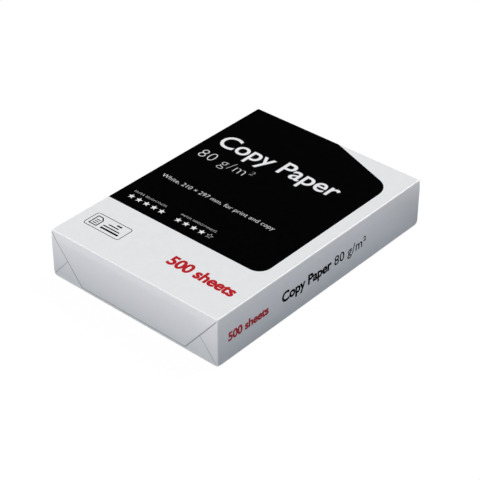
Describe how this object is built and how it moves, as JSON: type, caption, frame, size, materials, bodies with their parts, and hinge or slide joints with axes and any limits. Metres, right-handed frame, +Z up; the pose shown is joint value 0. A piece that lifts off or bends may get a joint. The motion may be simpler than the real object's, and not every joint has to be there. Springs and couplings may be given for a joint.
{
  "type": "ream of paper",
  "caption": "Sealed ream of A4 office paper: a flat block in a printed paper wrapper with crisp edges and envelope-folded ends.",
  "frame": {"origin": "middle of the underside, on the surface that the pack lies on", "axes": "+Z up through the stack; +Y along the sheets' long side, from one folded end to the other; +X across, towards the printed long side panel"},
  "size_m": [0.2104, 0.2984, 0.0522],
  "materials": {
    "wrapper": "satin"
  },
  "bodies": {
    "root": {"wrapped_ream": "wrapper"}
  },
  "joints": []
}
